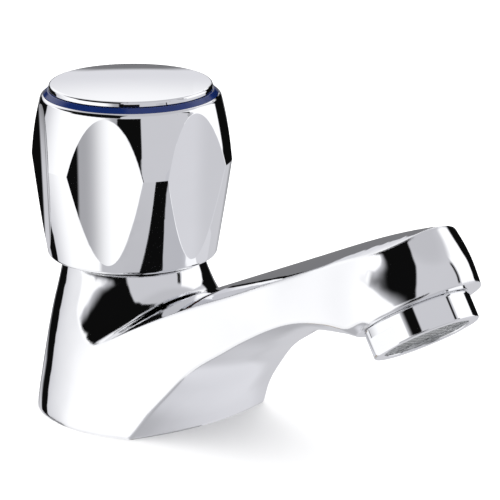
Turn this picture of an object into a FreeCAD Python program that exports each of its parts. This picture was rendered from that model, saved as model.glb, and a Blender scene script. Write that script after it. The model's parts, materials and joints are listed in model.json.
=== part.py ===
import FreeCAD, Part
import math
import os

# Basin pillar tap. Millimetres, +Z up, +X towards the spout's nose.
# The origin is on the deck plane, on the axis of the knob, valve and tail.

V = FreeCAD.Vector
UP = V(0, 0, 1)

# clearances
RUN = 0.05          # radial, turning or threaded pair
SLIP = 0.1          # sliding or loose pair
TOUCH = 0.05        # between stacked faces

# cast body: one row per level is height, back radius, offset of the back arc
COLUMN = [(0, 25.2, 4.2), (6, 24.1, 3.6), (12, 22.75, 3.0), (18, 21.2, 2.2), (24, 19.4, 1.3),
          (30, 17.5, 0.6), (35, 16.25, 0.0), (40, 16.0, 0.0), (45, 16.0, 0.0), (50, 16.0, 0.0),
          (54, 16.0, 0.0), (58, 16.0, 0.0), (62, 16.0, 0.0), (66, 16.0, 0.0), (70, 16.0, 0.0)]
BASE_R = COLUMN[0][1]
NECK_R = 16.25
NECK_Z = 35.0
# half widths of the body at distances ahead of the axis, low down and at neck level
FLANK = [(6.0, 25.5, 16.9), (11.0, 25.0, 17.4), (17.0, 23.3, 17.6), (23.0, 20.4, 17.3),
         (29.0, 18.2, 16.8), (37.0, 16.4, 16.1), (46.0, 15.6, 15.6)]
ARM_X = 60.0
ARM_HALF = [(0, 15.3), (34, 15.3), (44, 14.2), (52, 12.2), (62, 9.5), (70, 8.0)]
# nose by height: how far it reaches, its length and its half width
NOSE_TIP = [(0, 137.0), (44, 112.0), (50, 109.4), (54, 108.0), (58, 105.6), (62, 102.0),
            (66, 98.0), (70, 93.5)]
NOSE_LEN = [(0, 18.0), (44, 18.0), (50, 17.5), (54, 16.0), (58, 14.8), (62, 14.0), (70, 14.0)]
NOSE_HALF = [(0, 14.9), (44, 14.9), (50, 14.1), (54, 12.6), (58, 11.5), (62, 10.6), (66, 9.4),
             (70, 8.0)]
# top of the arm: straight rise, then a gentle bow towards the nose
TOP_X = 35.1
TOP_Z = 35.9
TOP_RISE = 0.44
TOP_BOW_X = 80.0
TOP_BOW = 0.0035
CROWN_R = [(0, 38.0), (40, 36.0), (50, 33.0), (60, 30.0), (78, 26.0), (94, 20.5), (104, 16.5),
           (150, 14.0)]
NECK_SLOPE = 3.2
NECK_BLEND = 13.0
CREASE_R = 0.5
# underside: distance ahead, height at the edge, bulge in the middle, half width
UNDER = [(18.6, -6.0, 2.9, 21.0), (22.9, 0.0, 2.9, 20.4), (26.0, 4.75, 2.9, 19.2),
         (28.9, 8.6, 2.9, 18.2), (33.2, 13.4, 2.8, 17.2), (37.3, 17.7, 2.6, 16.4),
         (43.8, 22.6, 2.2, 15.7), (48.6, 25.6, 2.1, 15.5), (53.7, 28.9, 2.1, 15.4),
         (58.8, 31.9, 2.3, 15.3), (66.7, 36.2, 3.1, 15.2), (72.5, 38.6, 4.1, 15.1),
         (78.2, 40.0, 4.9, 15.0), (83.8, 40.8, 5.3, 15.0), (89.2, 41.4, 5.2, 15.0),
         (100.0, 42.3, 5.0, 15.0), (130.0, 43.5, 5.0, 15.0)]

# outlet: centre of the aerator's lower face and the lean of its axis
OUT_X = 98.5
OUT_Z = 38.05
LEAN = 33.8
COLLAR_R = 12.0
COLLAR_H = 6.2
COLLAR_ROUND = 0.4
BOSS_R = 12.9
BOSS_H = 3.0
OUT_THREAD_R = 11.0
OUT_THREAD_END = 12.4
OUT_SEAT_H = 13.7
OUT_CHAMBER_R = 9.3
OUT_CHAMBER_END = 17.5

# inlet and seat
SHANK_R = 10.48
SHANK_TOP = 4.6
SHANK_END = -50.0
SHANK_BORE = 6.2
TAIL_PLAIN = 12.0
THREAD_PITCH = 1.814
THREAD_DEPTH = 1.16
SOCKET_TOP = 6.0
INLET_R = 5.0
SEAT_Z = 10.0
SEAT_R = 6.8
CHAMBER_FLOOR = 8.2
BONNET_R = 10.1
SKIRT_WALL = 4.2
SKIRT_TOP = 17.0
SKIRT_CORE_R = 14.2
PAD_THICK = 3.0
# waterway in the arm: distance ahead, height, half height, half width
WATERWAY = [(BONNET_R / 2, SEAT_Z + 5.4, 4.4, 6.5), (22.0, 20.2, 5.0, 8.0), (50.0, 34.2, 5.0, 9.0),
            (68.0, 42.4, 4.8, 9.0), (80.0, 46.8, 4.6, 8.6),
            (OUT_X - 10.5, OUT_Z + 11.5, 4.2, 7.5)]

# fixing under the deck
DECK = 12.0
PAD_WASHER = 3.0
STEEL_WASHER = 1.5
WASHER_R = 21.0
NUT_H = 8.5
NUT_AF = 30.0

# headwork
BONNET_BOTTOM = 20.8
FIBRE = 1.2
HEX_AF = 24.0
HEX_H = 6.0
GLAND_R = 8.4
GLAND_H = 6.2
GUIDE_AF = 15.0
SHOULDER_Z = 34.5
STEM_R = 4.75
STEM_SCREW_R = 3.9
STEM_END = 22.2
THRUST_R = 6.9
THRUST_H = 1.5
THIN_WASHER = 0.5
CLIP_H = 0.9
SPLINE_R = 4.0
SPLINE_TEETH = 20
STEM_TOP = 60.5
RING_SECTION = 0.9

# plunger that the stem lifts
LIFT_PITCH = 2.5
PLUNGER_BORE_FLOOR = 17.0
PLUNGER_TOP = 27.5
CUP_R = 8.4
CUP_TOP = 15.2
SEAL_R = 7.4
SEAL_H = 3.3
CUP_LIP = 1.3
SMALL_SCREW_R = 2.0

# knob
KNOB_BOTTOM = 35.7
KNOB_BOTTOM_R = 19.6
RIDGE_Z = 58.7
RIDGE_R = 23.5
RIM_Z = 73.8
RIM_R = 20.8
RIM_ROUND = 1.2
FOOT_ROUND = 0.9
KNOB_BOW = 0.2        # bulge of the side between ridge and rim
GROOVE_ROUND = 0.5
FLUTES = 6
FLUTE_R = 40.0
FLUTE_PHASE = -55.8
FLUTE_LOW = (38.0, 20.0)
FLUTE_HIGH = (72.0, 21.05)
KNOB_HOLLOW_R = 17.6
WEB_Z = 61.0
WEB_TOP = 66.0
HUB_R = 8.5
HUB_GAP = 1.0         # between the circlip and the knob's hub
BUSH_R = 6.45
INDEX_R = 20.15
INDEX_IN = 17.5
INDEX_LOW = 71.6
INDEX_H = 1.0         # above the rim
CAP_R = 18.9
CAP_TOP = 76.7
CAP_DOME = 0.5
CAP_ROUND = 0.6
CAP_SKIRT_R = 17.3
SCREW_R = 2.4
SCREW_HEAD_R = 4.5


def between(x, table):
    # smooth reading of a table, without overshoot
    if x <= table[0][0]:
        return table[0][1]
    if x >= table[-1][0]:
        return table[-1][1]
    steps = [(b[1] - a[1]) / (b[0] - a[0]) for a, b in zip(table, table[1:])]
    slopes = [steps[0]]
    for a, b in zip(steps, steps[1:]):
        slopes.append(2 * a * b / (a + b) if a * b > 0 else 0.0)
    slopes.append(steps[-1])
    i = 0
    while x > table[i + 1][0]:
        i += 1
    (x0, y0), (x1, y1) = table[i], table[i + 1]
    h = x1 - x0
    t = (x - x0) / h
    return (y0 * (1 + 2 * t) * (1 - t) ** 2 + slopes[i] * h * t * (1 - t) ** 2
            + y1 * t * t * (3 - 2 * t) - slopes[i + 1] * h * t * t * (1 - t))


def tube(r_in, r_out, z0, z1):
    outer = Part.makeCylinder(r_out, z1 - z0, V(0, 0, z0))
    return outer.cut(Part.makeCylinder(r_in, z1 - z0 + 2, V(0, 0, z0 - 1)))


def hexagon(across, z0, z1, turn=0.0):
    r = across / math.sqrt(3)
    pts = []
    for i in range(7):
        a = math.radians(60 * i + turn)
        pts.append(V(r * math.cos(a), r * math.sin(a), z0))
    face = Part.Face(Part.makePolygon(pts))
    return face.extrude(V(0, 0, z1 - z0))


def turned(points):
    # a point's third value rounds its corner, and a fourth bows the side that ends there
    rows = [(V(p[0], 0, p[1]),) + tuple(p[2:]) + (0.0,) * (4 - len(p)) for p in points]
    corners = []
    for i, (here, radius, _) in enumerate(rows):
        if not radius:
            corners.append((here, here, here))
            continue
        back = (rows[i - 1][0] - here).normalize()
        ahead = (rows[(i + 1) % len(rows)][0] - here).normalize()
        half = back.getAngle(ahead) / 2
        reach = radius / math.tan(half)
        middle = (back + ahead).normalize() * (radius / math.sin(half) - radius)
        corners.append((here + back * reach, here + middle, here + ahead * reach))
    edges = []
    for i, (start, middle, end) in enumerate(corners):
        last = corners[i - 1][2]
        side = start - last
        bow = rows[i][2]
        if bow:
            out = V(side.z, 0, -side.x).normalize() * bow
            edges.append(Part.Arc(last, last + side * 0.5 + out, start).toShape())
        else:
            edges.append(Part.makeLine(last, start))
        if end != start:
            edges.append(Part.Arc(start, middle, end).toShape())
    return Part.Face(Part.Wire(edges)).revolve(V(0, 0, 0), UP, 360)


def on_outlet(shape):
    # moves a piece drawn on the Z axis onto the leaning outlet axis
    out = shape.copy()
    out.rotate(V(0, 0, 0), V(0, 1, 0), -LEAN)
    out.translate(V(OUT_X, 0, OUT_Z))
    return out


def threaded(r, z0, z1, pitch, depth, bore):
    # ridges as closed rings, bounded by plain ends
    pts = [(bore, z0), (r - depth, z0)]
    turns = int((z1 - z0) / pitch)
    start = z0 + (z1 - z0 - turns * pitch) / 2
    for i in range(turns):
        z = start + i * pitch
        pts += [(r - depth, z + 0.06 * pitch), (r, z + 0.44 * pitch), (r, z + 0.56 * pitch),
                (r - depth, z + 0.94 * pitch)]
    pts += [(r - depth, z1), (bore, z1)]
    return turned(pts)


# cast body

def level_outline(z, radius, offset):
    low = max((radius - NECK_R) / (BASE_R - NECK_R), 0.0)
    pts = []
    for a in (180, 165, 150, 135, 120, 106, 96):
        t = math.radians(a)
        pts.append((offset + radius * math.cos(t), radius * math.sin(t)))
    for x, wide, narrow in FLANK:
        pts.append((x, low * wide + (1 - low) * narrow))
    half = between(z, ARM_HALF)
    pts.append((ARM_X, half))
    length = between(z, NOSE_LEN)
    tip_half = between(z, NOSE_HALF)
    start = between(z, NOSE_TIP) - length
    for k in (0.35, 0.7):
        pts.append((ARM_X + (start - ARM_X) * k, half + (tip_half - half) * k))
    for a in (90, 75, 60, 45, 30, 15, 0):
        t = math.radians(a)
        pts.append((start + length * math.cos(t), tip_half * math.sin(t)))
    pts += [(x, -y) for x, y in reversed(pts[1:-1])]
    curve = Part.BSplineCurve()
    curve.interpolate(Points=[V(x, y, z) for x, y in pts], PeriodicFlag=True)
    return Part.Wire([curve.toShape()])


def flanks():
    return Part.makeLoft([level_outline(*row) for row in COLUMN], True, False)


def top_height(x, y):
    arm = TOP_Z + TOP_RISE * (x - TOP_X) - y * y / (2 * between(max(x, 0), CROWN_R))
    if x > TOP_BOW_X:
        arm -= TOP_BOW * (x - TOP_BOW_X) ** 2
    neck = NECK_Z - (math.hypot(x, y) - NECK_R - 0.25) * NECK_SLOPE
    near = max(NECK_BLEND - abs(arm - neck), 0.0)
    return max(arm, neck) + near * near / (4 * NECK_BLEND)


def above_top():
    rows = []
    steps = 48
    for rho in (NECK_R - 0.3, 16.6, 17.2, 18, 19, 20, 21.5, 23, 25, 28, 32, 38, 46, 56, 68, 80, 92, 104,
                116, 130, 150):
        row = []
        for i in range(steps + 1):
            t = math.radians(130) * (2 * i / steps - 1)
            x, y = rho * math.cos(t), rho * math.sin(t)
            row.append(V(x, y, top_height(x, y)))
        rows.append(row)
    skin = Part.BSplineSurface()
    skin.interpolate(rows)
    return skin.toShape().extrude(V(0, 0, 150))


def below_arm():
    rows = []
    last = len(UNDER) - 1
    for i, (x, z, bulge, half) in enumerate(UNDER):
        ahead = UNDER[min(i + 1, last)]
        behind = UNDER[max(i - 1, 0)]
        run, rise = ahead[0] - behind[0], ahead[1] - behind[1]
        size = math.hypot(run, rise)
        row = []
        for k in range(-12, 13):
            y = 2.4 * k
            drop = bulge * (1 - (y / half) ** 2)
            if abs(y) > half:
                drop = -2 * bulge * (abs(y) - half) / half
            row.append(V(x + rise / size * drop, y, z - run / size * drop))
        rows.append(row)
    skin = Part.BSplineSurface()
    skin.interpolate(rows)
    return skin.toShape().extrude(V(70, 0, -120))


def waterway():
    rings = []
    last = len(WATERWAY) - 1
    for i, (x, z, high, wide) in enumerate(WATERWAY):
        ahead = WATERWAY[min(i + 1, last)]
        behind = WATERWAY[max(i - 1, 0)]
        along = V(ahead[0] - behind[0], 0, ahead[1] - behind[1])
        oval = Part.Ellipse(V(0, 0, 0), wide, high).toShape()
        turn = FreeCAD.Rotation(V(0, 1, 0), V(0, 0, 1), along.normalize(), "YZX")
        oval.Placement = FreeCAD.Placement(V(x, 0, z), turn)
        rings.append(Part.Wire([oval]))
    return Part.makeLoft(rings, True, False)


def skirt_pocket():
    top = [row for row in COLUMN if row[0] <= SKIRT_TOP]
    low = Part.makeCone(BASE_R - SKIRT_WALL - 0.8, top[-1][1] - SKIRT_WALL, SKIRT_TOP, V(3.4, 0, 0))
    low = low.cut(Part.makeCylinder(SKIRT_CORE_R, SKIRT_TOP + 2, V(0, 0, -1)))
    keep = Part.makeBox(60, 2 * 13.5, SKIRT_TOP, V(2, -13.5, 6.0))
    return low.cut(keep)


def spout_body():
    body = flanks().cut(above_top())
    body = body.cut(Part.makeCylinder(NECK_R + 1.2, 60, V(0, 0, NECK_Z)))
    body = body.cut(below_arm())
    crease = [edge for edge in body.Edges if edge.BoundBox.XMax > OUT_X + 20]
    body = body.makeFillet(CREASE_R, crease)
    rim_h = COLLAR_H + TOUCH
    body = body.fuse(on_outlet(Part.makeCylinder(BOSS_R, BOSS_H, V(0, 0, rim_h))))
    body = body.cut(on_outlet(Part.makeBox(90, 80, 60, V(-35, -40, rim_h - 60))))
    tools = [Part.makeCylinder(SHANK_R + RUN, SOCKET_TOP + 1, V(0, 0, -1)),
             Part.makeCylinder(INLET_R, SEAT_Z, V(0, 0, 1)),
             Part.makeCylinder(BONNET_R + RUN, 40, V(0, 0, SEAT_Z - TOUCH)),
             tube(SEAT_R, BONNET_R + RUN, CHAMBER_FLOOR, SEAT_Z),
             waterway(),
             skirt_pocket(),
             on_outlet(Part.makeCylinder(OUT_THREAD_R + RUN, OUT_SEAT_H - 4, V(0, 0, 4))),
             on_outlet(Part.makeCylinder(OUT_CHAMBER_R, OUT_CHAMBER_END - 5, V(0, 0, 5)))]
    for tool in tools:
        body = body.cut(tool)
    return body


# tail and fixing

def threaded_shank():
    plain = SHANK_END + TAIL_PLAIN
    tail = turned([(SHANK_BORE, SHANK_END), (SHANK_R - 0.8, SHANK_END), (SHANK_R, SHANK_END + 0.8),
                   (SHANK_R, plain), (SHANK_R - THREAD_DEPTH, plain),
                   (SHANK_R - THREAD_DEPTH, plain + 1.6), (SHANK_BORE, plain + 1.6)])
    screw = threaded(SHANK_R, plain + 1.6, SHANK_TOP, THREAD_PITCH, THREAD_DEPTH, SHANK_BORE)
    return tail.fuse(screw).removeSplitter()


def shank_seal():
    return tube(SHANK_BORE, SHANK_R - 0.4, SHANK_TOP + TOUCH, SOCKET_TOP - TOUCH)


def base_gasket():
    ring = skirt_pocket().common(Part.makeBox(80, 80, PAD_THICK, V(-40, -40, 0)))
    return ring.cut(Part.makeCylinder(SKIRT_CORE_R + SLIP, 20, V(0, 0, -1)))


def deck_seal_washer():
    return tube(SHANK_R + 2 * RUN, WASHER_R, -DECK - PAD_WASHER, -DECK)


def deck_steel_washer():
    top = -DECK - PAD_WASHER
    return tube(SHANK_R + 2 * RUN, WASHER_R - 1, top - STEEL_WASHER, top)


def backnut():
    top = -DECK - PAD_WASHER - STEEL_WASHER
    nut = hexagon(NUT_AF, top - NUT_H, top)
    cone = Part.makeCone(NUT_AF / 2 - 0.6, NUT_AF / 2 + 12, 12.6, V(0, 0, top - NUT_H))
    nut = nut.common(cone)
    return nut.cut(Part.makeCylinder(SHANK_R + RUN, NUT_H + 2, V(0, 0, top - NUT_H - 1)))


# headwork

def bonnet():
    hex_low = NECK_Z + FIBRE
    hex_top = hex_low + HEX_H
    body = threaded(BONNET_R, BONNET_BOTTOM, hex_low - 2.4, 1.4, 0.7, 2.0)
    body = body.fuse(Part.makeCylinder(BONNET_R - 0.5, 3.4, V(0, 0, hex_low - 2.9)))
    body = body.fuse(Part.makeCylinder(2.0, hex_top - BONNET_BOTTOM, V(0, 0, BONNET_BOTTOM)))
    head = hexagon(HEX_AF, hex_low, hex_top, 15)
    bevel = Part.makeCone(HEX_AF / 2 + 12, HEX_AF / 2 - 0.4, HEX_H + 1.1, V(0, 0, hex_low))
    body = body.fuse(head.common(bevel))
    body = body.fuse(Part.makeCylinder(GLAND_R, GLAND_H, V(0, 0, hex_top)))
    body = body.cut(hexagon(GUIDE_AF, BONNET_BOTTOM - 1, SHOULDER_Z, 15))
    body = body.cut(Part.makeCylinder(STEM_R + RUN, 40, V(0, 0, SHOULDER_Z - 1)))
    return body.removeSplitter()


def bonnet_gasket():
    return tube(BONNET_R + SLIP, HEX_AF / 2 + 1.0, NECK_Z, NECK_Z + FIBRE)


def gland_top():
    return NECK_Z + FIBRE + HEX_H + GLAND_H


def clip_bottom():
    return gland_top() + TOUCH + THIN_WASHER + TOUCH / 2


def hub_bottom():
    return clip_bottom() + CLIP_H + HUB_GAP


def ring_heights():
    top = gland_top()
    return (top - 3.0, top - 7.0)


def spindle():
    top = gland_top()
    thrust = SHOULDER_Z - TOUCH - THIN_WASHER - TOUCH
    clip = top + TOUCH + THIN_WASHER
    groove = 2 * RING_SECTION + 0.3
    floor = STEM_R - 2 * RING_SECTION - TOUCH
    core = STEM_SCREW_R - 0.7
    pts = [(0, STEM_END), (core - 0.5, STEM_END), (core, STEM_END + 0.5)]
    z = STEM_END + 0.8
    while z + LIFT_PITCH < thrust - THRUST_H:
        pts += [(core, z), (STEM_SCREW_R, z + 0.3 * LIFT_PITCH), (STEM_SCREW_R, z + 0.6 * LIFT_PITCH),
                (core, z + 0.9 * LIFT_PITCH)]
        z += LIFT_PITCH
    pts += [(core, thrust - THRUST_H), (THRUST_R, thrust - THRUST_H), (THRUST_R, thrust),
            (STEM_R, thrust)]
    for z in reversed(ring_heights()):
        pts += [(STEM_R, z - groove / 2), (floor, z - groove / 2),
                (floor, z + groove / 2), (STEM_R, z + groove / 2)]
    pts += [(STEM_R, clip), (STEM_R - 0.65, clip), (STEM_R - 0.65, clip + CLIP_H + TOUCH),
            (STEM_R, clip + CLIP_H + TOUCH), (STEM_R, hub_bottom() - 0.2),
            (SPLINE_R - 0.4, hub_bottom() + 0.1), (SPLINE_R - 0.4, STEM_TOP), (0, STEM_TOP)]
    stem = turned(pts)
    foot = hub_bottom()
    tooth = Part.makeBox(0.9, 0.62, STEM_TOP - foot - 0.4, V(SPLINE_R - 0.9, -0.31, foot))
    teeth = []
    for i in range(SPLINE_TEETH):
        one = tooth.copy()
        one.rotate(V(0, 0, 0), UP, 360 * i / SPLINE_TEETH)
        teeth.append(one)
    stem = stem.multiFuse(teeth)
    return stem.cut(Part.makeCylinder(SCREW_R + RUN, 14, V(0, 0, STEM_TOP - 12)))


def spindle_o_rings():
    rings = []
    for z in ring_heights():
        rings.append(Part.makeTorus(STEM_R - RING_SECTION, RING_SECTION, V(0, 0, z)))
    return Part.makeCompound(rings)


def collar_washer():
    top = SHOULDER_Z - TOUCH
    return tube(STEM_R + SLIP, THRUST_R, top - THIN_WASHER, top)


def gland_washer():
    low = gland_top() + TOUCH
    return tube(STEM_R + SLIP, GLAND_R - 1.0, low, low + THIN_WASHER - TOUCH)


def circlip():
    low = clip_bottom()
    clip = tube(STEM_R - 0.6, STEM_R + 1.5, low, low + CLIP_H)
    gap = Part.makeBox(10, 2.6, 4, V(0, -1.3, low - 1))
    clip = clip.cut(gap)
    for side in (-1, 1):
        ear = Part.makeCylinder(1.3, CLIP_H, V(STEM_R + 1.2, side * 2.7, low))
        ear = ear.cut(Part.makeCylinder(0.5, 4, V(STEM_R + 1.2, side * 2.7, low - 1)))
        clip = clip.fuse(ear.cut(Part.makeCylinder(STEM_R + 0.3, 4, V(0, 0, low - 1))))
    return clip


# plunger

def plunger():
    body = hexagon(GUIDE_AF - 2 * SLIP, CUP_TOP - 1, PLUNGER_TOP, 15)
    cup = Part.makeCylinder(CUP_R, CUP_TOP - (SEAT_Z + SEAL_H - CUP_LIP),
                            V(0, 0, SEAT_Z + SEAL_H - CUP_LIP))
    cup = cup.cut(Part.makeCylinder(SEAL_R + SLIP, CUP_LIP + 1, V(0, 0, SEAT_Z + SEAL_H - CUP_LIP - 1)))
    body = body.fuse(cup)
    body = body.cut(Part.makeCylinder(STEM_SCREW_R + RUN, 30, V(0, 0, PLUNGER_BORE_FLOOR)))
    return body.cut(Part.makeCylinder(SMALL_SCREW_R + RUN, 12, V(0, 0, SEAT_Z)))


def valve_washer():
    seal = Part.makeCylinder(SEAL_R, SEAL_H, V(0, 0, SEAT_Z))
    return seal.cut(Part.makeCylinder(SMALL_SCREW_R + SLIP, SEAL_H + 2, V(0, 0, SEAT_Z - 1)))


def washer_screw():
    head = Part.makeCylinder(3.4, 1.4, V(0, 0, SEAT_Z - 1.4))
    head = head.cut(Part.makeBox(10, 0.8, 0.7, V(-5, -0.4, SEAT_Z - 1.5)))
    return head.fuse(Part.makeCylinder(SMALL_SCREW_R, PLUNGER_BORE_FLOOR - SEAT_Z - 0.2,
                                       V(0, 0, SEAT_Z)))


# knob

def flute(turn):
    # a wide groove that leans slightly, so that it closes below the rim and above the foot
    rise = FLUTE_HIGH[0] - FLUTE_LOW[0]
    lean = (FLUTE_HIGH[1] - FLUTE_LOW[1]) / rise
    low = V(FLUTE_LOW[1] - 30 * lean + FLUTE_R, 0, FLUTE_LOW[0] - 30)
    tool = Part.makeCylinder(FLUTE_R, 100, low, V(lean, 0, 1))
    tool.rotate(V(0, 0, 0), UP, turn)
    return tool


def knob():
    body = turned([(0, KNOB_BOTTOM), (KNOB_BOTTOM_R, KNOB_BOTTOM, FOOT_ROUND), (RIDGE_R, RIDGE_Z),
                   (RIM_R, RIM_Z, RIM_ROUND, KNOB_BOW), (0, RIM_Z)])
    for i in range(FLUTES):
        body = body.cut(flute(FLUTE_PHASE + 360 * i / FLUTES))
    grooves = [face for face in body.Faces if face.Surface.TypeId == "Part::GeomCylinder"]
    sharp = [edge for face in grooves for edge in face.Edges if edge.Length > 4 * GROOVE_ROUND]
    for edge in body.Edges:
        box = edge.BoundBox
        if box.ZMin > RIDGE_Z - 0.1 and box.ZMax < RIDGE_Z + 0.1:
            sharp.append(edge)
    body = body.makeFillet(GROOVE_ROUND, sharp)
    body = body.cut(tube(HUB_R, KNOB_HOLLOW_R, KNOB_BOTTOM - 1, WEB_Z))
    hub = hub_bottom()
    body = body.cut(Part.makeCylinder(HUB_R + 1, hub - KNOB_BOTTOM + 1, V(0, 0, KNOB_BOTTOM - 1)))
    body = body.cut(Part.makeCylinder(BUSH_R + RUN, WEB_Z - hub + 1, V(0, 0, hub - 1)))
    body = body.cut(Part.makeCylinder(SCREW_R + SLIP, 20, V(0, 0, WEB_Z - 1)))
    body = body.cut(Part.makeCylinder(CAP_SKIRT_R + SLIP, 20, V(0, 0, WEB_TOP)))
    return body.cut(Part.makeCylinder(INDEX_R + RUN, 20, V(0, 0, INDEX_LOW)))


def index_ring():
    return turned([(INDEX_IN, INDEX_LOW), (INDEX_R, INDEX_LOW), (INDEX_R, RIM_Z, 0.25),
                   (CAP_R + 0.35, RIM_Z + INDEX_H, 0.25), (INDEX_IN, RIM_Z + INDEX_H)])


def cap():
    low = RIM_Z + INDEX_H + TOUCH
    edge = CAP_TOP - CAP_DOME
    skirt = CAP_SKIRT_R - 0.9
    disc = turned([(0, low), (skirt, low), (skirt, WEB_TOP + 1.5), (CAP_SKIRT_R, WEB_TOP + 1.5),
                   (CAP_SKIRT_R, low), (CAP_R, low, 0.2), (CAP_R, edge, CAP_ROUND), (0, edge)])
    ball_r = ((CAP_R - CAP_ROUND) ** 2 + CAP_DOME ** 2) / (2 * CAP_DOME)
    dome = Part.makeSphere(ball_r, V(0, 0, CAP_TOP - ball_r))
    return disc.fuse(dome.common(Part.makeCylinder(CAP_R, 2 * CAP_DOME, V(0, 0, edge))))


def handle_screw():
    screw = Part.makeCylinder(SCREW_R, WEB_TOP - STEM_TOP + 10, V(0, 0, STEM_TOP - 10))
    screw = screw.fuse(Part.makeCylinder(SCREW_HEAD_R, 2.8, V(0, 0, WEB_TOP)))
    for turn in (0, 90):
        slot = Part.makeBox(6, 1.0, 2, V(-3, -0.5, WEB_TOP + 1.2))
        slot.rotate(V(0, 0, 0), UP, turn)
        screw = screw.cut(slot)
    return screw


def spline_bush():
    return tube(SPLINE_R + SLIP, BUSH_R, hub_bottom() + SLIP, WEB_Z - TOUCH)


# aerator

def aerator_housing():
    pts = [(9.6, 0.0, 0.3), (COLLAR_R, 0.0, COLLAR_ROUND), (COLLAR_R, COLLAR_H, COLLAR_ROUND),
           (OUT_THREAD_R - 0.6, COLLAR_H), (OUT_THREAD_R - 0.6, COLLAR_H + 0.8)]
    for i in range(5):
        z = COLLAR_H + 0.8 + i
        pts += [(OUT_THREAD_R, z + 0.45), (OUT_THREAD_R, z + 0.55), (OUT_THREAD_R - 0.6, z + 1.0)]
    pts += [(OUT_THREAD_R - 0.6, OUT_THREAD_END), (10.2, OUT_THREAD_END), (10.2, 1.2), (9.6, 1.2)]
    ring = turned(pts)
    for side in (-1, 1):
        flat = Part.makeBox(30, 6, 5, V(-15, -3, -1))
        flat.translate(V(0, side * (COLLAR_R - 0.75 + 3), 0))
        ring = ring.cut(flat)
    return on_outlet(ring)


def aerator_outlet_grid():
    disc = Part.makeCylinder(10.1, 1.2, V(0, 0, 1.25))
    holes = []
    for i in range(-6, 7):
        for j in range(-6, 7):
            x, y = 1.6 * i + 0.8 * (j % 2), 1.4 * j
            if math.hypot(x, y) < 8.8:
                holes.append(Part.makeCylinder(0.6, 4, V(x, y, 0)))
    return on_outlet(disc.cut(Part.makeCompound(holes)))


def aerator_cage():
    cage = tube(9.0, 10.1, 2.5, 11.0)
    for i in range(4):
        port = Part.makeBox(30, 3.0, 2.4, V(-15, -1.5, 7.5))
        port.rotate(V(0, 0, 0), UP, 45 * i)
        cage = cage.cut(port)
    return on_outlet(cage)


def aerator_screens():
    discs = []
    for h in (3.2, 4.6):
        disc = Part.makeCylinder(8.9, 0.5, V(0, 0, h))
        holes = []
        for i in range(-3, 4):
            for j in range(-3, 4):
                x, y = 2.3 * i, 2.3 * j
                if math.hypot(x, y) < 7.6:
                    holes.append(Part.makeBox(1.5, 1.5, 3, V(x - 0.75, y - 0.75, h - 1)))
        discs.append(on_outlet(disc.cut(Part.makeCompound(holes))))
    return Part.makeCompound(discs)


def aerator_flow_plate():
    plate = Part.makeCylinder(10.1, 1.3, V(0, 0, 11.05))
    holes = []
    for ring, count in ((3.0, 6), (6.2, 12)):
        for i in range(count):
            a = 2 * math.pi * i / count
            holes.append(Part.makeCylinder(0.7, 4, V(ring * math.cos(a), ring * math.sin(a), 10)))
    return on_outlet(plate.cut(Part.makeCompound(holes)))


def aerator_gasket():
    return on_outlet(tube(8.2, OUT_THREAD_R - 0.2, OUT_THREAD_END + TOUCH, OUT_SEAT_H - TOUCH))


PIECES = [spout_body, threaded_shank, shank_seal, base_gasket, deck_seal_washer,
          deck_steel_washer, backnut, bonnet, bonnet_gasket, spindle, spindle_o_rings,
          collar_washer, gland_washer, circlip, plunger, valve_washer, washer_screw, knob,
          index_ring, cap, handle_screw, spline_bush, aerator_housing, aerator_outlet_grid,
          aerator_cage, aerator_screens, aerator_flow_plate, aerator_gasket]


def main():
    os.makedirs("parts", exist_ok=True)
    for piece in PIECES:
        piece().exportStep("parts/" + piece.__name__ + ".step")


main()
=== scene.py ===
import json
import math
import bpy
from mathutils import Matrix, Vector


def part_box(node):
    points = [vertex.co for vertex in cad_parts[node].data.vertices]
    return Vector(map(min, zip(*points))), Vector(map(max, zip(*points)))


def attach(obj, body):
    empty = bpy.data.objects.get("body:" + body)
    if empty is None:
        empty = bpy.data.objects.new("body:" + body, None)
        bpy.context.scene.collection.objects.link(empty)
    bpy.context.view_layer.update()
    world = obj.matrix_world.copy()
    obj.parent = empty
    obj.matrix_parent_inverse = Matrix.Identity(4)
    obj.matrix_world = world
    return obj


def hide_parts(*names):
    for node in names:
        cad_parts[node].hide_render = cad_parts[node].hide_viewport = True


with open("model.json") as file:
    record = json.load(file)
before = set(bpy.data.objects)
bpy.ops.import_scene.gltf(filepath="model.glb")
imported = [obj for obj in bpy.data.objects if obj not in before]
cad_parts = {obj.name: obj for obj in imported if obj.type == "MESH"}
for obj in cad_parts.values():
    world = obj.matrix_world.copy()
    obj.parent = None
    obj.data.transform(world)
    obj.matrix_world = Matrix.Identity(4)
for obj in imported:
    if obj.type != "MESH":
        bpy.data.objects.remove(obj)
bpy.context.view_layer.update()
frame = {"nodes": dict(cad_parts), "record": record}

from types import SimpleNamespace

import bpy
from mathutils import Matrix, Vector

bl_info = {
    "name": "Basin tap looks",
    "version": (1, 0, 0),
    "blender": (4, 5, 0),
    "location": "View3D > Sidebar > Basin Tap",
    "description": "Chrome, brass and rubber finishes, threaded tail, outlet mesh and photo studio",
    "category": "Object",
}

MM = 0.001


# sizes and colours that a user would change

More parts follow.
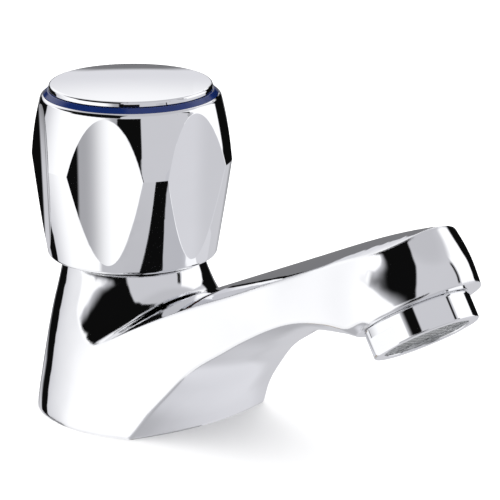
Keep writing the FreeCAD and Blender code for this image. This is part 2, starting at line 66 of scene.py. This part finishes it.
class TapFinish(bpy.types.PropertyGroup):
    chrome: bpy.props.FloatVectorProperty(
        name="Chrome", description="Colour of the chrome plating", subtype="COLOR",
        default=(0.93, 0.935, 0.95), min=0.0, max=1.0)
    chrome_shade: bpy.props.FloatVectorProperty(
        name="Chrome shade", description="Darker tone that clouds the plating very faintly",
        subtype="COLOR", default=(0.905, 0.91, 0.925), min=0.0, max=1.0)
    chrome_roughness: bpy.props.FloatProperty(
        name="Chrome roughness", description="How blurred the plating's reflections are",
        default=0.02, min=0.0, max=0.3, subtype="FACTOR")
    ring_blue: bpy.props.FloatVectorProperty(
        name="Index ring", description="Colour of the cold-water index ring", subtype="COLOR",
        default=(0.003, 0.014, 0.09), min=0.0, max=1.0)
    edge_radius: bpy.props.FloatProperty(
        name="Edge radius", description="How far the polished edges of the casting are rounded",
        default=1.2 * MM, min=0.0, unit="LENGTH")
    # the hollow's near-black tone is partly painted shade
    hollow_radius: bpy.props.FloatProperty(
        name="Hollow radius", description="How far out the knob's unplated hollow reaches",
        default=17.65 * MM, min=0.0, unit="LENGTH")
    web_height: bpy.props.FloatProperty(
        name="Web height", description="Height of the web that closes the knob's hollow",
        default=61.05 * MM, min=0.0, unit="LENGTH")


class TapTail(bpy.types.PropertyGroup):
    crest: bpy.props.FloatProperty(
        name="Crest radius", description="Radius over the thread's crests",
        default=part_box("threaded_shank")[1][0], min=0.0, unit="LENGTH")
    root: bpy.props.FloatProperty(
        name="Root radius", description="Radius at the bottom of the thread",
        default=9.32 * MM, min=0.0, unit="LENGTH")
    bore: bpy.props.FloatProperty(
        name="Bore radius", description="Radius of the waterway through the tail",
        default=6.2 * MM, min=0.0, unit="LENGTH")
    pitch: bpy.props.FloatProperty(
        name="Pitch", description="Rise of the thread in one turn",
        default=1.814 * MM, min=0.0, unit="LENGTH")
    plain_end: bpy.props.FloatProperty(
        name="Plain end", description="Length of the plain lead-in at the tail's lower end",
        default=12.0 * MM, min=0.0, unit="LENGTH")


class TapScreens(bpy.types.PropertyGroup):
    radius: bpy.props.FloatProperty(
        name="Screen radius", description="Outer radius of the aerator's two screens",
        default=8.8 * MM, min=0.0, unit="LENGTH")
    wire: bpy.props.FloatProperty(
        name="Wire radius", description="Radius of a woven wire",
        default=0.12 * MM, min=0.0, unit="LENGTH")
    mesh_pitch: bpy.props.FloatProperty(
        name="Mesh pitch", description="Distance between neighbouring wires",
        default=1.0 * MM, min=0.0, unit="LENGTH")


class TapStudio(bpy.types.PropertyGroup):
    floor_radius: bpy.props.FloatProperty(
        name="Floor radius", description="Radius of the round floor",
        default=4.0, min=0.5, unit="LENGTH")
    tent_radius: bpy.props.FloatProperty(
        name="Tent radius", description="Radius of the reflection tent round the tap",
        default=3.0, min=0.4, unit="LENGTH")
    focal: bpy.props.FloatProperty(
        name="Focal length", description="Focal length of the camera, in millimetres",
        default=252.43, min=20.0)
    world_light: bpy.props.FloatProperty(
        name="World light", description="Strength of the white surroundings",
        default=1.6, min=0.0)


# selecting, shaping and handing over a piece

def deselect():
    if bpy.context.mode != "OBJECT":
        bpy.ops.object.mode_set(mode="OBJECT")
    bpy.ops.object.select_all(action="DESELECT")


def only(piece):
    deselect()
    piece.select_set(True)
    bpy.context.view_layer.objects.active = piece


def edit(piece):
    only(piece)
    bpy.ops.object.mode_set(mode="EDIT")
    bpy.ops.mesh.select_all(action="SELECT")


def place_applied(piece):
    only(piece)
    bpy.ops.object.transform_apply(location=True, rotation=True, scale=True)


def apply_modifiers(piece):
    only(piece)
    for modifier in list(piece.modifiers):
        bpy.ops.object.modifier_apply(modifier=modifier.name)


def close_and_face_out(piece):
    edit(piece)
    bpy.ops.mesh.remove_doubles(threshold=0.001 * MM)
    bpy.ops.mesh.fill_holes(sides=0)
    bpy.ops.mesh.normals_make_consistent(inside=False)
    bpy.ops.object.mode_set(mode="OBJECT")


def join(pieces, name):
    deselect()
    for piece in pieces:
        piece.select_set(True)
    bpy.context.view_layer.objects.active = pieces[0]
    bpy.ops.object.join()
    pieces[0].name = name
    return pieces[0]


def smooth(piece, degrees):
    only(piece)
    bpy.ops.object.shade_smooth_by_angle(angle=math.radians(degrees))


def dress(piece, material):
    piece.data.materials.clear()
    piece.data.materials.append(material)


def hand_over(piece, body, finish, node):
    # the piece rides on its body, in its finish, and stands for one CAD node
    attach(piece, body)
    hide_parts(node)
    dress(piece, bpy.data.materials[finish])


# shader nodes

def nodes_of(name):
    material = bpy.data.materials.new(name)
    material.use_nodes = True
    tree = material.node_tree
    shader = next(n for n in tree.nodes if n.type == "BSDF_PRINCIPLED")
    return material, tree, shader


def add(tree, kind, **values):
    # each value sets a property of the node, or else the input of that name
    node = tree.nodes.new(kind)
    for key, value in values.items():
        if hasattr(node, key):
            setattr(node, key, value)
        else:
            node.inputs[key.replace("_", " ")].default_value = value
    return node


def ramp(tree, stops):
    node = tree.nodes.new("ShaderNodeValToRGB")
    points = node.color_ramp.elements
    while len(points) > 1:
        points.remove(points[-1])
    points[0].position = stops[0][0]
    points[0].color = (*stops[0][1], 1)
    for position, color in stops[1:]:
        points.new(position).color = (*color, 1)
    return node


def maths(tree, operation, *values):
    # each value is a number or another node's output
    node = add(tree, "ShaderNodeMath", operation=operation)
    for socket, value in zip(node.inputs, values):
        if isinstance(value, (int, float)):
            socket.default_value = value
        else:
            tree.links.new(value, socket)
    return node.outputs[0]


def mix_colors(tree, share, below, above):
    # the upper colour is a tuple or another node's output
    share_in, below_in, above_in, mixed_out = 0, 6, 7, 2
    node = add(tree, "ShaderNodeMix", data_type="RGBA")
    tree.links.new(share, node.inputs[share_in])
    tree.links.new(below, node.inputs[below_in])
    if isinstance(above, tuple):
        node.inputs[above_in].default_value = (*above, 1)
    else:
        tree.links.new(above, node.inputs[above_in])
    return node.outputs[mixed_out]


# finishes

CHROME_CLOUD = {"Scale": 60.0, "Detail": 4.0, "Roughness": 0.55}
CAST_GRAIN = {"Scale": 900.0, "Detail": 5.0, "Roughness": 0.65}
# the cast skin's tones are near-black: partly the dull casting, partly painted shade in the knob's
# hollow
CAST_SKIN_AND_SHADE_DARK = (0.012, 0.013, 0.014)
CAST_SKIN_AND_SHADE_LIGHT = (0.035, 0.036, 0.038)
CAST_ROUGHNESS = 0.75
CAST_DULLING = 0.7       # how much of the metal's shine the cast skin loses


def clouded(name, dark, light, edges, noise, roughness, gloss_span):
    # a finish whose colour and gloss follow one fine cloud
    material, tree, shader = nodes_of(name)
    link = tree.links.new
    place = add(tree, "ShaderNodeTexCoord")
    cloud = add(tree, "ShaderNodeTexNoise", **noise)
    link(place.outputs["Object"], cloud.inputs["Vector"])
    tint = ramp(tree, [(edges[0], dark), (edges[1], light)])
    link(cloud.outputs["Fac"], tint.inputs["Fac"])
    gloss = add(tree, "ShaderNodeMapRange")
    gloss.inputs["To Min"].default_value = roughness * gloss_span[0]
    gloss.inputs["To Max"].default_value = min(roughness * gloss_span[1], 1.0)
    link(cloud.outputs["Fac"], gloss.inputs["Value"])
    link(tint.outputs["Color"], shader.inputs["Base Color"])
    link(gloss.outputs["Result"], shader.inputs["Roughness"])
    return SimpleNamespace(material=material, tree=tree, shader=shader, link=link,
                           place=place.outputs["Object"], cloud=cloud.outputs["Fac"],
                           tint=tint.outputs["Color"], gloss=gloss.outputs["Result"])


def rough_up(made, strength, depth):
    bump = add(made.tree, "ShaderNodeBump", Strength=strength)
    bump.inputs["Distance"].default_value = depth
    made.link(made.cloud, bump.inputs["Height"])
    made.link(bump.outputs["Normal"], made.shader.inputs["Normal"])


def chrome(name, finish):
    # clear plating with the faintest cloud in its tone and gloss
    made = clouded(name, finish.chrome_shade, finish.chrome, (0.3, 0.7), CHROME_CLOUD,
                   finish.chrome_roughness, (0.6, 1.6))
    made.shader.inputs["Metallic"].default_value = 1.0
    return made


def knob_chrome(finish):
    # plated outside; the hollow below the web is a rough cast skin whose near-black tone is partly
    # painted shade
    made = chrome("knob_chrome", finish)
    tree, link = made.tree, made.link
    split = add(tree, "ShaderNodeSeparateXYZ")
    link(made.place, split.inputs["Vector"])
    radius = maths(tree, "SQRT", maths(tree, "ADD",
                                       maths(tree, "POWER", split.outputs["X"], 2.0),
                                       maths(tree, "POWER", split.outputs["Y"], 2.0)))
    # mask of the hollow below the web, which gets the rough cast skin and its painted shade
    hollow_cast_and_shade = maths(tree, "MULTIPLY",
                 maths(tree, "LESS_THAN", radius, finish.hollow_radius),
                 maths(tree, "LESS_THAN", split.outputs["Z"], finish.web_height))
    skin = add(tree, "ShaderNodeTexNoise", **CAST_GRAIN)
    link(made.place, skin.inputs["Vector"])
    grain_and_shade = ramp(tree, [(0.3, CAST_SKIN_AND_SHADE_DARK), (0.75, CAST_SKIN_AND_SHADE_LIGHT)])
    link(skin.outputs["Fac"], grain_and_shade.inputs["Fac"])
    link(mix_colors(tree, hollow_cast_and_shade, made.tint, grain_and_shade.outputs["Color"]),
         made.shader.inputs["Base Color"])
    share_in, plated_in, cast_in = 0, 2, 3
    rough = add(tree, "ShaderNodeMix", data_type="FLOAT")
    link(hollow_cast_and_shade, rough.inputs[share_in])
    link(made.gloss, rough.inputs[plated_in])
    rough.inputs[cast_in].default_value = CAST_ROUGHNESS
    link(rough.outputs[0], made.shader.inputs["Roughness"])
    link(maths(tree, "SUBTRACT", 1.0, maths(tree, "MULTIPLY", hollow_cast_and_shade, CAST_DULLING)),
         made.shader.inputs["Metallic"])
    return made.material


def body_chrome(finish):
    # the casting's edges catch the light as edges do after polishing
    made = chrome("body_chrome", finish)
    edge = add(made.tree, "ShaderNodeBevel", samples=8)
    edge.inputs["Radius"].default_value = finish.edge_radius
    made.link(edge.outputs["Normal"], made.shader.inputs["Normal"])
    return made.material


def plain_metal(name, light, dark, roughness, scale):
    made = clouded(name, dark, light, (0.35, 0.65),
                   {"Scale": scale, "Detail": 6.0, "Roughness": 0.6}, roughness, (0.75, 1.3))
    rough_up(made, 0.08, 0.05 * MM)
    made.shader.inputs["Metallic"].default_value = 1.0
    return made.material


def moulded(name, light, dark, roughness, scale, depth):
    made = clouded(name, dark, light, (0.35, 0.65),
                   {"Scale": scale, "Detail": 5.0, "Roughness": 0.6}, roughness, (0.85, 1.15))
    rough_up(made, 0.2, depth)
    return made.material


def make_finishes(finish):
    # each of the record's slots with the finish that its pieces get
    blue = tuple(finish.ring_blue)
    return {
        "chrome_plate": chrome("polished_chrome", finish).material,
        "bare_brass": plain_metal("turned_brass", (0.74, 0.55, 0.27), (0.62, 0.44, 0.2),
                                  0.24, 140.0),
        "steel": plain_metal("bright_steel", (0.68, 0.68, 0.67), (0.55, 0.55, 0.55),
                             0.28, 260.0),
        "black_rubber": moulded("soft_rubber", (0.035, 0.035, 0.037), (0.018, 0.018, 0.019),
                                0.62, 300.0, 0.05 * MM),
        "red_fibre": moulded("pressed_fibre", (0.42, 0.1, 0.06), (0.3, 0.06, 0.035),
                             0.8, 500.0, 0.08 * MM),
        "white_plastic": moulded("white_nylon", (0.86, 0.86, 0.84), (0.8, 0.8, 0.77),
                                 0.45, 200.0, 0.02 * MM),
        "blue_ring": moulded("ring_blue", blue, tuple(0.8 * c for c in blue),
                             0.15, 120.0, 0.01 * MM),
        "grey_plastic": moulded("grey_acetal", (0.3, 0.31, 0.32), (0.22, 0.225, 0.23),
                                0.45, 240.0, 0.03 * MM),
    }


class TAP_OT_nodes(bpy.types.Operator):
    """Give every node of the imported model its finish"""
    bl_idname = "tap.nodes"
    bl_label = "Finishes of all pieces"

    def execute(self, context):
        finish = context.scene.tap_finish
        made = make_finishes(finish)
        for row in frame["record"]["subparts"]:
            dress(frame["nodes"][row["node"]], made[row["material_slot"]])
        dress(frame["nodes"]["knob"], knob_chrome(finish))
        dress(frame["nodes"]["spout_body"], body_chrome(finish))
        return {"FINISHED"}


# threaded tail

LEAD_ROUND = 0.6 * MM           # rounding of the plain end's rims
LEAD_LAP = 0.5 * MM             # how far the threaded length reaches into the plain end
CREST_SHARE = 0.43              # half the ridge's width, as a share of the pitch
RUN_IN, RUN_OUT = 1.3, 0.6      # pitches that the thread keeps clear below and above
STEPS_PER_TURN = 44


def pipe(name, outer, bore, low, high):
    # a straight tube: both ends of a cylinder are inset to the bore and bridged through
    deselect()
    bpy.ops.mesh.primitive_cylinder_add(vertices=72, radius=outer, depth=high - low,
                                        end_fill_type="NGON", location=(0, 0, (low + high) / 2))
    piece = bpy.context.object
    piece.name = name
    place_applied(piece)
    edit(piece)
    bpy.ops.mesh.select_mode(type="FACE")
    bpy.ops.mesh.select_all(action="DESELECT")
    bpy.ops.object.mode_set(mode="OBJECT")
    for face in piece.data.polygons:
        face.select = abs(face.normal.z) > 0.9
    bpy.ops.object.mode_set(mode="EDIT")
    bpy.ops.mesh.inset(thickness=outer - bore, use_individual=True)
    bpy.ops.mesh.bridge_edge_loops()
    bpy.ops.mesh.select_mode(type="VERT")
    bpy.ops.object.mode_set(mode="OBJECT")
    return piece


def helical_ridge(tail, low, high):
    # a rounded ridge wound up the root cylinder, for as many full turns as fit
    start = low + RUN_IN * tail.pitch
    turns = int((high - RUN_OUT * tail.pitch - start) / tail.pitch)
    deselect()
    bpy.ops.mesh.primitive_circle_add(vertices=8, radius=1.0, location=(tail.root, 0, start),
                                      rotation=(math.radians(90), 0, 0))
    ridge = bpy.context.object
    ridge.scale = (tail.crest - tail.root, CREST_SHARE * tail.pitch, 1.0)
    place_applied(ridge)
    screw = ridge.modifiers.new("helix", "SCREW")
    screw.axis = "Z"
    screw.angle = 2 * math.pi
    screw.screw_offset = tail.pitch
    screw.iterations = turns
    screw.steps = STEPS_PER_TURN
    screw.render_steps = STEPS_PER_TURN
    apply_modifiers(ridge)
    close_and_face_out(ridge)
    return ridge


def make_tail(tail):
    low, high = (corner[2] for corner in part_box("threaded_shank"))
    groove = low + tail.plain_end
    core = pipe("tail_core", tail.root, tail.bore, groove - LEAD_LAP, high)
    lead = pipe("tail_lead", tail.crest, tail.bore, low, groove)
    round_ends = lead.modifiers.new("round_ends", "BEVEL")
    round_ends.width = LEAD_ROUND
    round_ends.segments = 3
    round_ends.limit_method = "ANGLE"
    round_ends.angle_limit = math.radians(60)
    apply_modifiers(lead)
    piece = join([core, lead, helical_ridge(tail, groove, high)], "tail_thread")
    smooth(piece, 32)
    hand_over(piece, "tap_body", "turned_brass", "threaded_shank")


class TAP_OT_tail(bpy.types.Operator):
    """Replace the tail by a tube with a true helical thread"""
    bl_idname = "tap.tail"
    bl_label = "Threaded tail"

    def execute(self, context):
        make_tail(context.scene.tap_tail)
        return {"FINISHED"}


# aerator screens

OUTLET_AT = (98.5 * MM, 0, 38.05 * MM)
OUTLET_LEAN = math.radians(33.8)
SCREEN_HEIGHTS = (3.45 * MM, 4.85 * MM)     # along the outlet's axis
RIM_WIRE = 0.35 * MM
RIM_FLATNESS = 0.7
RIM_LAP = 0.5 * MM                          # how far inside the rim's edge the wires end


def woven_wire(screens, periods, height, phase):
    # one zigzag wire along X: a short bent length, repeated
    pitch = screens.mesh_pitch
    rise = screens.wire * (1 if phase else -1)
    deselect()
    bpy.ops.mesh.primitive_circle_add(vertices=6, radius=screens.wire,
                                      location=(-periods * pitch, 0, height - rise),
                                      rotation=(0, math.radians(90), 0))
    wire = bpy.context.object
    place_applied(wire)
    edit(wire)
    for step in (2 * rise, -2 * rise):
        bpy.ops.mesh.extrude_region_move(TRANSFORM_OT_translate={"value": (pitch, 0, step)})
    bpy.ops.object.mode_set(mode="OBJECT")
    array = wire.modifiers.new("repeat", "ARRAY")
    array.count = periods
    array.use_relative_offset = False
    array.use_constant_offset = True
    array.constant_offset_displace = (2 * pitch, 0, 0)
    array.use_merge_vertices = True
    array.merge_threshold = 0.01 * MM
    apply_modifiers(wire)
    close_and_face_out(wire)
    return wire


def screen_rim(screens, height):
    deselect()
    bpy.ops.mesh.primitive_torus_add(major_segments=64, minor_segments=8,
                                     location=(0, 0, height),
                                     major_radius=screens.radius - RIM_WIRE,
                                     minor_radius=RIM_WIRE)
    rim = bpy.context.object
    place_applied(rim)
    edit(rim)
    bpy.ops.transform.resize(value=(1, 1, RIM_FLATNESS))
    bpy.ops.object.mode_set(mode="OBJECT")
    return rim


def on_outlet(piece):
    # lays a piece drawn on the Z axis onto the leaning outlet axis
    piece.rotation_euler = (0, -OUTLET_LEAN, 0)
    piece.location = OUTLET_AT
    place_applied(piece)


def make_screens(screens):
    # two woven screens, each in its flattened rim
    pieces = []
    reach = screens.radius - RIM_LAP
    rows = int(reach / screens.mesh_pitch)
    for height in SCREEN_HEIGHTS:
        pieces.append(screen_rim(screens, height))
        for row in range(-rows, rows + 1):
            across = row * screens.mesh_pitch
            chord = math.sqrt(reach * reach - across * across)
            periods = int(chord / screens.mesh_pitch)
            if not periods:
                continue
            odd = (row + periods) % 2 == 0
            for turned in (False, True):
                wire = woven_wire(screens, periods, height, odd != turned)
                wire.location = (across, 0, 0) if turned else (0, across, 0)
                wire.rotation_euler = (0, 0, math.radians(90 if turned else 0))
                place_applied(wire)
                pieces.append(wire)
    piece = join(pieces, "aerator_weave")
    on_outlet(piece)
    smooth(piece, 50)
    hand_over(piece, "tap_body", "bright_steel", "aerator_screens")


class TAP_OT_screens(bpy.types.Operator):
    """Replace the aerator's punched screens by woven wire"""
    bl_idname = "tap.screens"
    bl_label = "Aerator screens"

    def execute(self, context):
        make_screens(context.scene.tap_screens)
        return {"FINISHED"}


# studio

def tone(level):
    # a light's grey, a little cold except in the blacks and the whites
    return (level, level, level * (1.05 if 0.02 < level < 0.9 else 1.01))


CAMERA_AT = (0.60689, -0.49548, 0.26743)
CAMERA_YAW = 2.42183
CAMERA_PITCH = -0.28745
CAMERA_ROLL = -0.00211
CAMERA_SHIFT = -0.0014
SENSOR_WIDTH = 36.0
CAMERA_SIDE = 41.24             # degrees that the camera stands to the right of the spout
LAMP_AT = (0.1, -0.2, 1.3)
LAMP_SIZE = 2.4
LAMP_POWER = 2.5
TENT_AT = (0.045, 0, 0.035)
PER_RADIAN = 180 / math.pi
FLOOR_SHADES = ((0.93, 0.93, 0.93), (0.95, 0.95, 0.95))
WHITE = tone(1.12)
BLACK = tone(0.004)
TENT_WALL = tone(0.62)
# soft boxes and flags, in degrees as seen from the tap with the camera at 0: from, to, lowest,
# highest, tone, and how soft the four edges are; later ones hang in front of earlier ones
PANELS = [
    (-200, 200, -100, -36, tone(0.46), (5, 5, 5, 5)),
    (-140, -50, -100, -36, tone(1.0), (20, 15, 5, 5)),
    (55, 110, -100, -36, tone(0.45), (20, 15, 5, 5)),
    (118, 172, -100, -36, tone(0.76), (45, 8, 5, 5)),
    (-200, 200, 48, 100, tone(0.55), (5, 5, 8, 5)),
    (150, 200, 8, 50, tone(0.75), (10, 5, 1, 8)),
    (-200, -125, 8, 50, tone(0.75), (5, 10, 1, 8)),
    (150, 200, 17, 45, tone(1.1), (10, 5, 5, 8)),
    (-200, -125, 17, 45, tone(1.05), (5, 10, 5, 8)),
    (-110, -22, -38, 15, WHITE, (24, 9, 3, 1)),
    (-28, -13, -26, 15, tone(0.4), (10, 1, 6, 1)),
    (-47, -13, -60, -27, tone(0.55), (4, 3, 5, 2)),
    (-15.5, 13.5, -24, 14.5, BLACK, (1, 0.8, 1.5, 1)),
    (-115, -12, 17.5, 80, BLACK, (4, 2, 3, 6)),
    (-122, -82, 15, 27, WHITE, (4, 3, 1, 2)),
    (-160, -126, -14, 11, BLACK, (2, 1, 1.5, 1)),
    (-146, -126, -40, -12, BLACK, (2, 1, 4, 1.5)),
    (157, 200, -18, 10.2, tone(0.2), (2, 5, 4, 0.7)),
    (-200, -159, -18, 10.2, tone(0.2), (5, 2, 4, 0.7)),
    (86, 131, -38, -10, tone(0.7), (8, 1, 4, 3)),
    (86, 131, -10, 42, WHITE, (1, 1, 3, 4)),
    (132, 166, -17, 20, BLACK, (1, 1.5, 1, 2)),
    (77, 83, 8, 38, tone(0.02), (1, 1, 2, 3)),
]


def make_floor(studio):
    deselect()
    bpy.ops.mesh.primitive_circle_add(vertices=96, radius=studio.floor_radius, fill_type="NGON")
    floor = bpy.context.object
    floor.name = "floor"
    material, tree, shader = nodes_of("pale_floor")
    place = add(tree, "ShaderNodeTexCoord")
    cloud = add(tree, "ShaderNodeTexNoise", Scale=3.0, Detail=2.0)
    tint = ramp(tree, [(0.3, FLOOR_SHADES[0]), (0.7, FLOOR_SHADES[1])])
    tree.links.new(place.outputs["Object"], cloud.inputs["Vector"])
    tree.links.new(cloud.outputs["Fac"], tint.inputs["Fac"])
    tree.links.new(tint.outputs["Color"], shader.inputs["Base Color"])
    shader.inputs["Roughness"].default_value = 0.9
    dress(floor, material)
    floor.visible_glossy = False


def soft_step(tree, source, edge, half, rising=True):
    # 0 to 1 across an edge, in degrees
    step = add(tree, "ShaderNodeMapRange", interpolation_type="SMOOTHSTEP")
    step.inputs["From Min"].default_value = edge - half if rising else edge + half
    step.inputs["From Max"].default_value = edge + half if rising else edge - half
    tree.links.new(source, step.inputs["Value"])
    return step.outputs["Result"]


def lay_panel(tree, below, turn, height, panel):
    # one soft box or flag over what is already hung in the tent
    left, right, low, high, shade, soft = panel
    soft_left, soft_right, soft_low, soft_high = soft
    mask = maths(tree, "MULTIPLY", soft_step(tree, turn, left, soft_left),
                 soft_step(tree, turn, right, soft_right, False))
    mask = maths(tree, "MULTIPLY", mask, soft_step(tree, height, low, soft_low))
    mask = maths(tree, "MULTIPLY", mask, soft_step(tree, height, high, soft_high, False))
    return mix_colors(tree, mask, below, shade)


def tent_light(studio):
    # what the chrome mirrors, by direction from the tap
    material = bpy.data.materials.new("tent_light")
    material.use_nodes = True
    tree = material.node_tree
    tree.nodes.clear()
    link = tree.links.new
    out = add(tree, "ShaderNodeOutputMaterial")
    glow = add(tree, "ShaderNodeEmission")
    link(glow.outputs["Emission"], out.inputs["Surface"])
    place = add(tree, "ShaderNodeTexCoord")
    face_camera = add(tree, "ShaderNodeMapping")
    face_camera.inputs["Rotation"].default_value = (0, 0, math.radians(CAMERA_SIDE))
    link(place.outputs["Object"], face_camera.inputs["Vector"])
    split = add(tree, "ShaderNodeSeparateXYZ")
    link(face_camera.outputs["Vector"], split.inputs["Vector"])
    across = maths(tree, "ARCTAN2", split.outputs["Y"], split.outputs["X"])
    upward = maths(tree, "ARCSINE",
                   maths(tree, "DIVIDE", split.outputs["Z"], studio.tent_radius))
    turn = maths(tree, "MULTIPLY", across, PER_RADIAN)
    height = maths(tree, "MULTIPLY", upward, PER_RADIAN)
    wall = add(tree, "ShaderNodeRGB")
    wall.outputs[0].default_value = (*TENT_WALL, 1)
    color = wall.outputs[0]
    for panel in PANELS:
        color = lay_panel(tree, color, turn, height, panel)
    link(color, glow.inputs["Color"])
    material.cycles.emission_sampling = "NONE"
    return material


def make_tent(studio):
    # a sphere that only reflections see, hung with soft boxes and flags
    deselect()
    bpy.ops.mesh.primitive_uv_sphere_add(segments=96, ring_count=48,
                                         radius=studio.tent_radius, location=TENT_AT)
    tent = bpy.context.object
    tent.name = "reflection_tent"
    bpy.ops.object.shade_smooth()
    dress(tent, tent_light(studio))
    tent.visible_camera = False
    tent.visible_diffuse = False
    tent.visible_transmission = False
    tent.visible_shadow = False


def make_light(studio):
    scene = bpy.context.scene
    world = bpy.data.worlds.new("white_surroundings")
    world.use_nodes = True
    shade = world.node_tree.nodes["Background"]
    shade.inputs["Color"].default_value = (1, 1, 1, 1)
    shade.inputs["Strength"].default_value = studio.world_light
    scene.world = world
    data = bpy.data.lights.new("soft_box", "AREA")
    data.shape = "DISK"
    data.size = LAMP_SIZE
    data.energy = LAMP_POWER
    lamp = bpy.data.objects.new("soft_box", data)
    scene.collection.objects.link(lamp)
    lamp.location = LAMP_AT
    lamp.visible_glossy = False
    scene.view_settings.view_transform = "Standard"


def set_camera(studio):
    # the place and direction that were fitted to the photo
    data = bpy.data.cameras.new("photo_camera")
    camera = bpy.data.objects.new("photo_camera", data)
    bpy.context.scene.collection.objects.link(camera)
    level = math.cos(CAMERA_PITCH)
    forward = Vector((level * math.cos(CAMERA_YAW), level * math.sin(CAMERA_YAW),
                      math.sin(CAMERA_PITCH)))
    right = forward.cross(Vector((0, 0, 1))).normalized()
    up = right.cross(forward)
    right, up = (right * math.cos(CAMERA_ROLL) + up * math.sin(CAMERA_ROLL),
                 up * math.cos(CAMERA_ROLL) - right * math.sin(CAMERA_ROLL))
    turn = Matrix((right, up, -forward)).transposed()
    camera.matrix_world = Matrix.Translation(CAMERA_AT) @ turn.to_4x4()
    data.sensor_width = SENSOR_WIDTH
    data.sensor_fit = "HORIZONTAL"
    data.lens = studio.focal
    data.shift_x = CAMERA_SHIFT
    data.clip_start = 0.05
    data.clip_end = 50.0
    bpy.context.scene.camera = camera


class TAP_OT_stage(bpy.types.Operator):
    """Set up the floor, the reflection tent, the light and the camera"""
    bl_idname = "tap.stage"
    bl_label = "Photo studio"

    def execute(self, context):
        studio = context.scene.tap_studio
        make_floor(studio)
        make_tent(studio)
        make_light(studio)
        set_camera(studio)
        return {"FINISHED"}


# add-on

OPERATORS = (TAP_OT_nodes, TAP_OT_tail, TAP_OT_screens, TAP_OT_stage)


class TAP_PT_panel(bpy.types.Panel):
    """Lists the steps that dress the basin tap"""
    bl_idname = "TAP_PT_panel"
    bl_label = "Basin Tap"
    bl_space_type = "VIEW_3D"
    bl_region_type = "UI"
    bl_category = "Basin Tap"

    def draw(self, context):
        for operator in OPERATORS:
            self.layout.operator(operator.bl_idname)


CLASSES = (TapFinish, TapTail, TapScreens, TapStudio) + OPERATORS + (TAP_PT_panel,)


def register():
    for cls in CLASSES:
        bpy.utils.register_class(cls)
    bpy.types.Scene.tap_finish = bpy.props.PointerProperty(type=TapFinish)
    bpy.types.Scene.tap_tail = bpy.props.PointerProperty(type=TapTail)
    bpy.types.Scene.tap_screens = bpy.props.PointerProperty(type=TapScreens)
    bpy.types.Scene.tap_studio = bpy.props.PointerProperty(type=TapStudio)


def unregister():
    del bpy.types.Scene.tap_studio
    del bpy.types.Scene.tap_screens
    del bpy.types.Scene.tap_tail
    del bpy.types.Scene.tap_finish
    for cls in reversed(CLASSES):
        bpy.utils.unregister_class(cls)


def main():
    register()
    bpy.ops.tap.nodes()
    bpy.ops.tap.tail()
    bpy.ops.tap.screens()
    bpy.ops.tap.stage()


if __name__ == "__main__":
    main()
